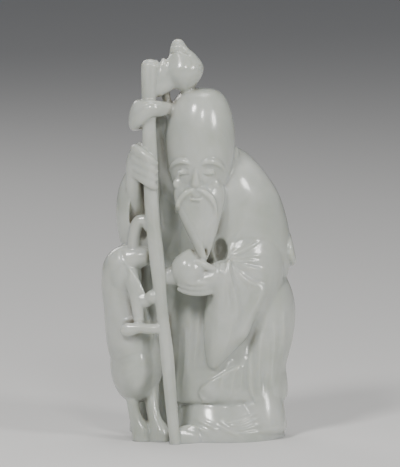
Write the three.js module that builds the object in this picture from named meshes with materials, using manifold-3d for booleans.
// A carved nephrite figure of an old sage who leans on a gnarled staff and holds a peach, with a deer
// at his side that carries a fungus in its mouth. It is cut from one stone, so it is one solid.
// Millimetres, +Z up. The figure looks along -Y, and its right hand, on the staff, is at -X.
import * as THREE from "three";
import { mergeVertices } from "three/addons/utils/BufferGeometryUtils.js";
import Module from "manifold-3d";

const wasm = await Module();
wasm.setup();

// Driving dimensions
const HEIGHT = 150;
const HEM_Z = 13.4;
const WAIST_Z = 59;
const HEAD = { x: 0.2, y: -7.5, bottom: 87, top: 131.4, halfWidth: 12.9, halfDepth: 13.4 };
const GROUND = 0;
const JADE = { color: 0xc9d0c2, roughness: 0.18, metalness: 0 };

// A value that runs smoothly through evenly spaced samples, for t from 0 to 1.
function eased(samples, t) {
  const last = samples.length - 1;
  const place = t * last;
  const i = Math.min(Math.floor(place), last - 1);
  const f = place - i;
  const at = (k) => samples[THREE.MathUtils.clamp(k, 0, last)];
  const leave = (at(i + 1) - at(i - 1)) / 2;
  const reach = (at(i + 2) - at(i)) / 2;
  const f2 = f * f;
  const f3 = f2 * f;
  return (2 * f3 - 3 * f2 + 1) * at(i) + (f3 - 2 * f2 + f) * leave
    + (3 * f2 - 2 * f3) * at(i + 1) + (f3 - f2) * reach;
}

// A closed form swept along its stations, each [x, y, z, half-width, half-depth]. The width lies
// along side, blunt says how flat the two ends are, and relief adds to the radius.
function sweep(stations, options = {}) {
  const { side = [1, 0, 0], around = 20, rings = 12, blunt = 2, relief } = options;
  const columns = [0, 1, 2, 3, 4].map((k) => stations.map((s) => s[k]));
  const centre = (t) => new THREE.Vector3(...columns.slice(0, 3).map((c) => eased(c, t)));
  const sideways = new THREE.Vector3(...side);
  const geometry = new THREE.SphereGeometry(1, around, rings);
  const place = geometry.getAttribute("position");
  const vertex = new THREE.Vector3();
  const step = 0.01;
  for (let i = 0; i < place.count; i++) {
    vertex.fromBufferAttribute(place, i);
    const t = (1 + THREE.MathUtils.clamp(vertex.y, -1, 1)) / 2;
    const angle = Math.atan2(vertex.z, vertex.x);
    const here = centre(t);
    const tangent = centre(Math.min(1, t + step)).sub(centre(Math.max(0, t - step))).normalize();
    const s = sideways.clone().addScaledVector(tangent, -sideways.dot(tangent)).normalize();
    const d = new THREE.Vector3().crossVectors(s, tangent);
    const cap = Math.pow(Math.max(0, 1 - Math.pow(Math.abs(2 * t - 1), blunt)), 1 / blunt);
    const grow = relief ? relief(angle, t) : 0;
    const halfWidth = (eased(columns[3], t) + grow) * cap;
    const halfDepth = (eased(columns[4], t) + grow) * cap;
    here.addScaledVector(s, halfWidth * Math.cos(angle)).addScaledVector(d, halfDepth * Math.sin(angle));
    place.setXYZ(i, here.x, here.y, here.z);
  }
  return geometry;
}

// An egg-shaped form at a centre, with its three half-sizes, turned about X, Y and Z in degrees.
function egg(centre, half, turn = [0, 0, 0], around = 14, rings = 9) {
  const radians = turn.map(THREE.MathUtils.degToRad);
  return new THREE.SphereGeometry(1, around, rings)
    .rotateX(Math.PI / 2)
    .scale(...half)
    .applyMatrix4(new THREE.Matrix4().makeRotationFromEuler(new THREE.Euler(...radians)))
    .translate(...centre);
}

// A level direction, turned from +X towards +Y.
function across(degrees) {
  const angle = THREE.MathUtils.degToRad(degrees);
  return [Math.cos(angle), Math.sin(angle), 0];
}

// The manifold solid of a closed three.js geometry.
function solid(geometry) {
  const bare = geometry.clone();
  bare.deleteAttribute("normal");
  bare.deleteAttribute("uv");
  const merged = mergeVertices(bare, 1e-4);
  return new wasm.Manifold(
    new wasm.Mesh({
      numProp: 3,
      vertProperties: new Float32Array(merged.getAttribute("position").array),
      triVerts: new Uint32Array(merged.index.array),
    }),
  );
}

// The three.js geometry of a manifold solid.
function geometryOf(made) {
  const mesh = made.getMesh();
  const geometry = new THREE.BufferGeometry();
  geometry.setAttribute("position", new THREE.BufferAttribute(new Float32Array(mesh.vertProperties), 3));
  geometry.setIndex(new THREE.BufferAttribute(new Uint32Array(mesh.triVerts), 1));
  return geometry;
}

const joined = (geometries) => geometries.map(solid).reduce((sum, next) => sum.add(next));

// The robe: a flared underskirt, the skirt down to its hem, and the stooped trunk
function robe() {
  const oblique = across(16);
  const flute = (angle, t) => 0.4 * Math.cos(9 * angle + 3 * t) * (1 - t);
  const flare = sweep(
    [
      [10.8, 0, -8, 20, 15],
      [10.8, 0, -2, 21.6, 17],
      [10.8, 0, 3, 21, 16.6],
      [10.8, 0.6, 8, 19.8, 14.6],
      [10.8, 1.6, 14, 19.4, 13],
    ],
    { side: oblique, around: 22, rings: 8, blunt: 5 },
  );
  const underskirt = sweep(
    [
      [11.2, 3.2, 2, 20.6, 13],
      [11, 3.2, 8, 19.9, 12.2],
      [10.8, 3.4, 14, 19.8, 12],
      [10.6, 3.6, 22, 19.6, 12],
    ],
    { side: oblique, around: 18, rings: 5, blunt: 12 },
  );
  const skirt = sweep(
    [
      [10.6, 2.6, HEM_Z, 21.8, 16],
      [10.3, 3, 21, 21.4, 15.8],
      [10, 4.2, 33, 21.4, 15],
      [10.2, 5.2, 45, 22, 13.8],
      [10.8, 6.4, 59, 21.6, 13.4],
      [11, 6, 72, 20, 13],
    ],
    { side: oblique, around: 26, rings: 7, blunt: 12, relief: flute },
  );
  const drape = sweep(
    [
      [22.4, 4.4, HEM_Z, 10.2, 12.6],
      [22.3, 4.4, 18, 10.6, 13],
      [21.6, 4.4, 27, 10.4, 12.8],
      [22.6, 4, 38, 12.1, 13.4],
      [22.8, 3.6, 48, 12.8, 13.4],
      [21.2, 3.6, WAIST_Z, 11.6, 12.8],
    ],
    { side: oblique, around: 18, rings: 8, blunt: 8, relief: flute },
  );
  const trunk = sweep(
    [
      [10.5, 5.4, WAIST_Z - 14, 14, 8],
      [11.2, 5, 58, 20.8, 14],
      [11.8, 4.6, 70, 22.2, 16],
      [11, 3.8, 82, 20.8, 16.2],
      [9.4, 2.2, 91.4, 18, 15.4],
      [7.6, 0, 99.8, 13.6, 13],
      [5, -3, 107, 8, 8.4],
    ],
    { around: 22, rings: 10, blunt: 5 },
  );
  const slope = sweep(
    [
      [22, -3.4, 1, 11.4, 11],
      [21.6, -2.8, 8, 10.6, 9.6],
      [21, -1.8, 15, 9.8, 8.6],
      [20.4, -0.6, 27, 7.4, 7],
    ],
    { side: oblique, around: 14, rings: 5, blunt: 5 },
  );
  return [flare, underskirt, skirt, drape, trunk, slope];
}

// The left sleeve: cloth gathered at the wrist that spreads to the elbow and hangs to a low tip
function hangingSleeve() {
  const folds = (angle, t) => 0.5 * Math.cos(8 * angle + 4 * t) * Math.sin(Math.PI * t);
  const bag = sweep(
    [
      [4.4, -13, 27.2, 2.4, 3.2],
      [6.6, -12, 34, 5.4, 5.6],
      [10, -10.4, 43, 9.6, 7.2],
      [14, -8.4, 52, 12.8, 8.2],
      [17, -6.2, 61, 14.6, 8.8],
      [18, -3.8, 71, 14, 8.8],
      [17.4, 0.4, 84, 10, 8],
    ],
    { side: across(24), around: 24, rings: 12, blunt: 4, relief: folds },
  );
  const panel = sweep(
    [
      [8.8, -7.8, HEM_Z + 0.4, 9.4, 5.6],
      [9.6, -8, 18, 10.8, 6.4],
      [11, -7, 24, 9.8, 6.2],
      [12, -5, 33, 8, 5.6],
    ],
    { side: across(18), around: 16, rings: 7, blunt: 3.5 },
  );
  return [bag, panel];
}

// The tall bald head with its ears, and the beard down to the peach
function headAndBeard() {
  const tall = HEAD.top - HEAD.bottom;
  const skull = sweep(
    [
      [HEAD.x - 0.2, HEAD.y + 0.5, HEAD.bottom, 8.6, 10],
      [HEAD.x - 0.2, HEAD.y - 0.6, HEAD.bottom + 0.22 * tall, 11.2, 11.6],
      [HEAD.x, HEAD.y, HEAD.bottom + 0.48 * tall, HEAD.halfWidth * 0.985, HEAD.halfDepth],
      [HEAD.x, HEAD.y + 0.4, HEAD.bottom + 0.74 * tall, HEAD.halfWidth * 1.03, HEAD.halfDepth * 1.02],
      [HEAD.x + 0.4, HEAD.y + 0.6, HEAD.top, HEAD.halfWidth * 1.02, HEAD.halfDepth],
    ],
    { around: 22, rings: 12, blunt: 2.5 },
  );
  const ear = egg([12.9, -4.4, 102.6], [1.7, 2.8, 8.4], [6, 6, 0], 8, 6);
  const otherEar = egg([-12, -2.6, 102.6], [1.5, 2.6, 8], [6, -6, 0], 8, 6);
  const nose = egg([-1.6, -20.6, 101], [1.8, 2, 3.6], [-10, 0, 0], 8, 6);
  const brow = egg([-1, -18.8, 105.4], [8.4, 2.4, 1.8], [-8, 0, 0], 12, 6);
  const beard = sweep(
    [
      [1.4, -17.2, 67.4, 1.6, 2.2],
      [1.2, -17, 73, 3.6, 3.6],
      [0.8, -16.2, 80, 6.2, 4.6],
      [0.2, -15.2, 87, 8.6, 5.4],
      [-0.2, -14, 94, 10.2, 6],
      [-0.4, -12.5, 100, 9.4, 6],
    ],
    { around: 16, rings: 8, blunt: 3 },
  );
  return [skull, ear, otherEar, nose, brow, beard];
}

// The left hand with a peach on it, and the web of stone that ties them to the staff
function peachAndHand() {
  const peach = sweep(
    [
      [-3.8, -15.8, 57, 4.6, 4.6],
      [-4, -16, 61, 6, 5.8],
      [-4.2, -16, 66, 6.4, 5.8],
      [-3.8, -16.2, 70, 4.2, 4],
      [-3.4, -16.4, 72.6, 1.2, 1.2],
    ],
    { around: 14, rings: 8, blunt: 2.4 },
  );
  const palm = sweep(
    [
      [-6.6, -14.8, 59.6, 3.2, 3.8],
      [-1, -14.8, 60, 4.6, 5],
      [5, -13.8, 61.4, 5.4, 5.2],
      [12, -11, 64, 5.6, 5],
    ],
    { side: [0, 0, 1], around: 12, rings: 6, blunt: 4 },
  );
  const web = sweep(
    [
      [-15.4, -16.4, 62, 3.4, 2.2],
      [-11.6, -15.8, 62.2, 3.4, 2.2],
      [-8, -15, 62.4, 4, 2.8],
    ],
    { side: [0, 0, 1], around: 8, rings: 4, blunt: 6 },
  );
  return [peach, palm, web];
}

// The staff with its cut top, the curl round it, the ribbon knot, and the gourd that hangs from it
function staffAndGourd() {
  const shaft = sweep(
    [
      [-8.8, -20.4, -3.6, 1.9, 1.8],
      [-10.6, -20, 14.4, 2.2, 2],
      [-12.1, -19.4, 32.4, 2.5, 2],
      [-14.1, -18.8, 50.4, 2.3, 2],
      [-15.9, -18, 68.4, 2.8, 2.1],
      [-17.7, -17, 86.4, 2.7, 2.1],
      [-18.4, -15.8, 104.4, 2.8, 2.1],
      [-18.9, -14.8, 122.4, 2.6, 2.3],
      [-18.6, -13.8, 140.4, 3.3, 3],
    ],
    { around: 9, rings: 18, blunt: 30 },
  );
  const curl = sweep(
    [
      [-10.6, -10, 124.2, 2.8, 1.8],
      [-14, -14.8, 124.4, 3, 2],
      [-18.4, -17.6, 124.6, 3.2, 2.2],
      [-22.4, -15.8, 123.2, 4.9, 2.8],
      [-23.2, -12.2, 121.8, 6.1, 3],
      [-21.2, -9, 120.6, 5, 2.8],
      [-17.6, -8.4, 120, 3, 2.4],
    ],
    { side: [0.2, 0, 1], around: 8, rings: 10, blunt: 5 },
  );
  const root = sweep(
    [
      [-18, -12.6, 130, 3.6, 2.6],
      [-15, -12.2, 133.6, 5, 3],
      [-12, -11.4, 136, 5.4, 3],
      [-8, -10.6, 137.6, 4.4, 3],
    ],
    { side: [0, 0, 1], around: 9, rings: 6, blunt: 5 },
  );
  const ribbons = [-15.6, -13.4, -11.4].map((x, k) =>
    egg([x, -13 + 0.6 * k, 137.6 + 0.8 * k], [1.5, 2, 5], [0, 8 * (k - 1), 0], 8, 6),
  );
  const stem = sweep(
    [
      [-13.4, -8.6, 133, 2.6, 2.4],
      [-12.4, -8.2, 127, 1.7, 2],
      [-11.4, -8, 121, 2.4, 2.4],
    ],
    { around: 8, rings: 5, blunt: 6 },
  );
  const gourd = sweep(
    [
      [-5.4, -9.6, 130.2, 4, 4],
      [-5.7, -9.8, 134, 6.4, 6],
      [-6.1, -10, 138.4, 7.8, 7],
      [-6.8, -10, 142.2, 5.9, 5.4],
      [-7.6, -10, 145, 4, 3.8],
      [-8, -10, 147.4, 3.4, 3.2],
      [-7.8, -10, HEIGHT, 3, 2.8],
    ],
    { around: 16, rings: 11, blunt: 2.8 },
  );
  const cap = egg([-18.5, -13.8, 140], [3.3, 3, 2.8], [0, 0, 0], 9, 6);
  const foot = sweep(
    [
      [-9, -19, -1, 7, 2],
      [-5.6, -16.2, -1, 7.6, 3.2],
      [-1, -13, -1, 8, 4],
    ],
    { side: [0, 0, 1], around: 8, rings: 4, blunt: 4 },
  );
  return [shaft, cap, foot, curl, root, ...ribbons, stem, gourd];
}

// The right arm: the wide sleeve with its open mouth, the wrist, and the fist on the staff
function raisedArm() {
  const sleeve = sweep(
    [
      [-14, 2, 62, 5, 6],
      [-20, -1.4, 70, 7.6, 8],
      [-22.6, -4, 78, 8, 9],
      [-23, -5.2, 87, 8.2, 9],
      [-21.6, -6.4, 97, 7.6, 7.4],
      [-20.4, -8, 107, 4, 4.4],
    ],
    { around: 18, rings: 10, blunt: 3 },
  );
  const shoulder = sweep(
    [
      [4, 3, 86, 8, 9],
      [-6, 1, 93, 9, 8],
      [-13, -1.6, 100, 8, 6.4],
      [-16, -3.8, 109, 5, 4.8],
      [-16.6, -5, 119, 3.4, 3],
    ],
    { side: [0.5, 0, 0.87], around: 14, rings: 9, blunt: 3 },
  );
  const web = sweep(
    [
      [3, 5, 84, 16, 9],
      [-5, 4, 84, 20, 7.4],
      [-12, 1.6, 84.6, 20, 6.4],
      [-19, -2, 85.4, 17, 6],
      [-24.6, -5, 85, 9, 4.6],
    ],
    { side: [0, 0, 1], around: 14, rings: 7, blunt: 4 },
  );
  const backing = sweep(
    [
      [-5, 3.6, 40, 7, 6],
      [-9, 2.6, 60, 7.6, 5.6],
      [-11.4, 0.8, 81, 8, 5],
      [-12.8, -1.6, 102, 5.8, 4.6],
      [-13.4, -4.6, 122, 3.6, 3],
    ],
    { around: 12, rings: 7, blunt: 6 },
  );
  const mouth = egg([-21.8, -14.4, 85], [4.6, 5, 11.4], [0, 0, 0], 12, 8);
  const forearm = sweep(
    [
      [-23, -7, 80, 2, 2.6],
      [-23.4, -9.6, 87, 2.4, 2.6],
      [-24.2, -12.4, 95, 3.2, 3],
      [-23.6, -13, 102, 3.6, 3.4],
    ],
    { around: 10, rings: 6, blunt: 5 },
  );
  const fist = egg([-22.8, -12.6, 103.8], [4.6, 4.8, 8.2], [0, 10, 0], 10, 8);
  const fingers = [0, 1, 2, 3].map((k) => {
    const z = 108.4 - 3 * k;
    const out = 0.6 * Math.sin((Math.PI * (k + 0.5)) / 4);
    return sweep(
      [
        [-24 - out, -12.4, z + 1.2, 1.9, 2],
        [-23.4 - out, -15.4, z + 1, 2.1, 2],
        [-21.2, -18, z - 0.4, 1.9, 1.8],
        [-18.4, -19.2, z - 2.4, 1.8, 1.6],
        [-15.6, -18, z - 4.4, 1.5, 1.4],
      ],
      { side: [0, 0, 1], around: 8, rings: 6, blunt: 2.8 },
    );
  });
  const grip = egg([-21, -15.4, 103.6], [3.4, 2.4, 6.2], [0, 8, 0], 8, 6);
  const rest = joined([shoulder, backing, forearm, fist, grip, ...fingers]);
  const cloth = joined([sleeve, web]).subtract(solid(mouth));
  return cloth.add(rest);
}

// The deer: barrel and chest, arched neck, bowed head with ear and antler, and four legs
function deer() {
  const barrel = sweep(
    [
      [-23.6, -16.8, 26.4, 6, 9.6],
      [-23.9, -8, 27.4, 9.8, 15],
      [-22.5, 2, 30, 9.8, 13.6],
      [-19.5, 11, 32, 9, 12.4],
      [-17.6, 18.5, 31, 7.4, 10],
    ],
    { around: 16, rings: 9, blunt: 3 },
  );
  const neck = sweep(
    [
      [-24.4, -5, 27, 9.6, 11],
      [-26, -7.4, 38, 9.2, 10],
      [-27.8, -6.8, 49, 8, 8.4],
      [-29.4, -7, 58.6, 7.3, 7.4],
      [-28.4, -8.8, 66, 7, 6.6],
      [-23.4, -11, 68.6, 5, 5],
      [-18.4, -12.6, 68.6, 3.6, 3.6],
    ],
    { side: [0.8, 0.3, 0.5], around: 14, rings: 12, blunt: 4.5 },
  );
  const hump = egg([-28, -10.6, 61.4], [6.4, 5.2, 8.8], [8, 0, 0], 10, 7);
  const face = sweep(
    [
      [-26.6, -11.4, 66, 3.6, 3.6],
      [-25.2, -14.2, 60.6, 3.1, 3.4],
      [-23.7, -16, 54.6, 2.5, 2.8],
      [-22.9, -17, 48.4, 2.2, 2.3],
      [-22.6, -17.6, 43.4, 2.2, 2.2],
    ],
    { around: 10, rings: 9, blunt: 3 },
  );
  const ear = sweep(
    [
      [-26.6, -15, 63.6, 0.8, 0.8],
      [-24, -17, 59.8, 1.6, 1],
      [-20.6, -18, 55.8, 1.2, 1],
    ],
    { side: [0.8, 0, 0.6], around: 8, rings: 6, blunt: 2 },
  );
  const boss = egg([-17.5, -18.4, 54.8], [2.7, 2.2, 2.7], [0, 0, 0], 8, 6);
  const link = egg([-20.6, -17.4, 53.2], [3.2, 1.9, 2.6], [0, 0, 0], 8, 6);
  const antler = sweep(
    [
      [-24.6, -10.4, 69, 2.6, 2.6],
      [-24.3, -13, 77, 2.3, 2.4],
      [-22.8, -15, 82.4, 2.3, 2.2],
      [-20.2, -15.8, 82.6, 2.1, 2],
      [-17.8, -15.8, 78, 1.9, 1.8],
    ],
    { side: [1, 0, 0.4], around: 10, rings: 9, blunt: 5 },
  );
  const leg = (x, y, lean, slant, thick, rise) =>
    sweep(
      [
        [x + lean, y + slant, -3, 3.9, 3.8 * thick],
        [x + 0.94 * lean, y + 0.8 * slant, 2.6, 4, 3.6 * thick],
        [x + 0.4 * lean, y + 0.3 * slant, 8, 2.6 * thick, 2.8 * thick],
        [x + 0.1 * lean, y - 0.4 * slant, 13.4, 2.4 * thick, 3 * thick],
        [x, y - 1.6 * slant, rise, 3.2 * thick, 4 * thick],
      ],
      { around: 8, rings: 6, blunt: 8 },
    );
  const legs = [
    leg(-25.2, -9.4, 4, -1.8, 1, 22),
    leg(-18.2, -9.4, 3.4, -2.8, 1, 22),
    leg(-21.8, 12, -0.6, 1.8, 1.3, 28),
    leg(-14.4, 13, -0.6, 1.8, 1.3, 28),
  ];
  const tail = egg([-17.4, 20, 37], [1.7, 1.8, 4], [-20, 0, 0], 8, 6);
  const wall = sweep(
    [
      [-18, 2, 30, 6.4, 6],
      [-18.6, 1.4, 42, 6.6, 5],
      [-19, 0.4, 54, 6.4, 5],
      [-18.6, -0.6, 66, 6, 5.4],
      [-17, -1, 76, 5, 5],
    ],
    { around: 10, rings: 6, blunt: 5 },
  );
  return [barrel, neck, hump, face, ear, boss, link, antler, ...legs, tail, wall];
}

// The fungus in the deer's mouth: a broad cap that touches the staff
function fungus() {
  const cap = sweep(
    [
      [-29.4, -18, 43, 2.2, 1.8],
      [-27, -18.6, 42.6, 2.7, 2],
      [-22.6, -19.2, 43.2, 1.9, 1.9],
      [-18.4, -19.6, 43, 2.1, 1.9],
      [-13.6, -19.4, 43.2, 2.4, 1.9],
    ],
    { side: [0, 0, 1], around: 9, rings: 8, blunt: 3 },
  );
  return [cap];
}

// The bow of the sash behind the waist: a flat loop of cloth
function sashBow() {
  const loop = new THREE.TorusGeometry(4.8, 1.7, 7, 14)
    .scale(1, 1.16, 1)
    .rotateY(THREE.MathUtils.degToRad(78))
    .translate(33.4, 6, 69.8);
  return [loop];
}

const forms = [
  ...robe(),
  ...hangingSleeve(),
  ...headAndBeard(),
  ...peachAndHand(),
  ...staffAndGourd(),
  ...deer(),
  ...fungus(),
  ...sashBow(),
];
const below = new THREE.BoxGeometry(4 * HEIGHT, 4 * HEIGHT, HEIGHT).translate(0, 0, GROUND - HEIGHT / 2);
const carved = joined(forms).add(raisedArm()).subtract(solid(below));

const geometry = geometryOf(carved).toNonIndexed();
geometry.computeBoundingBox();
const middle = geometry.boundingBox.getCenter(new THREE.Vector3());
geometry.translate(-middle.x, -middle.y, 0);
geometry.computeVertexNormals();

const figure = new THREE.Mesh(geometry, new THREE.MeshStandardMaterial(JADE));
figure.name = "figure";
const group = new THREE.Group();
group.add(figure);

export default group;
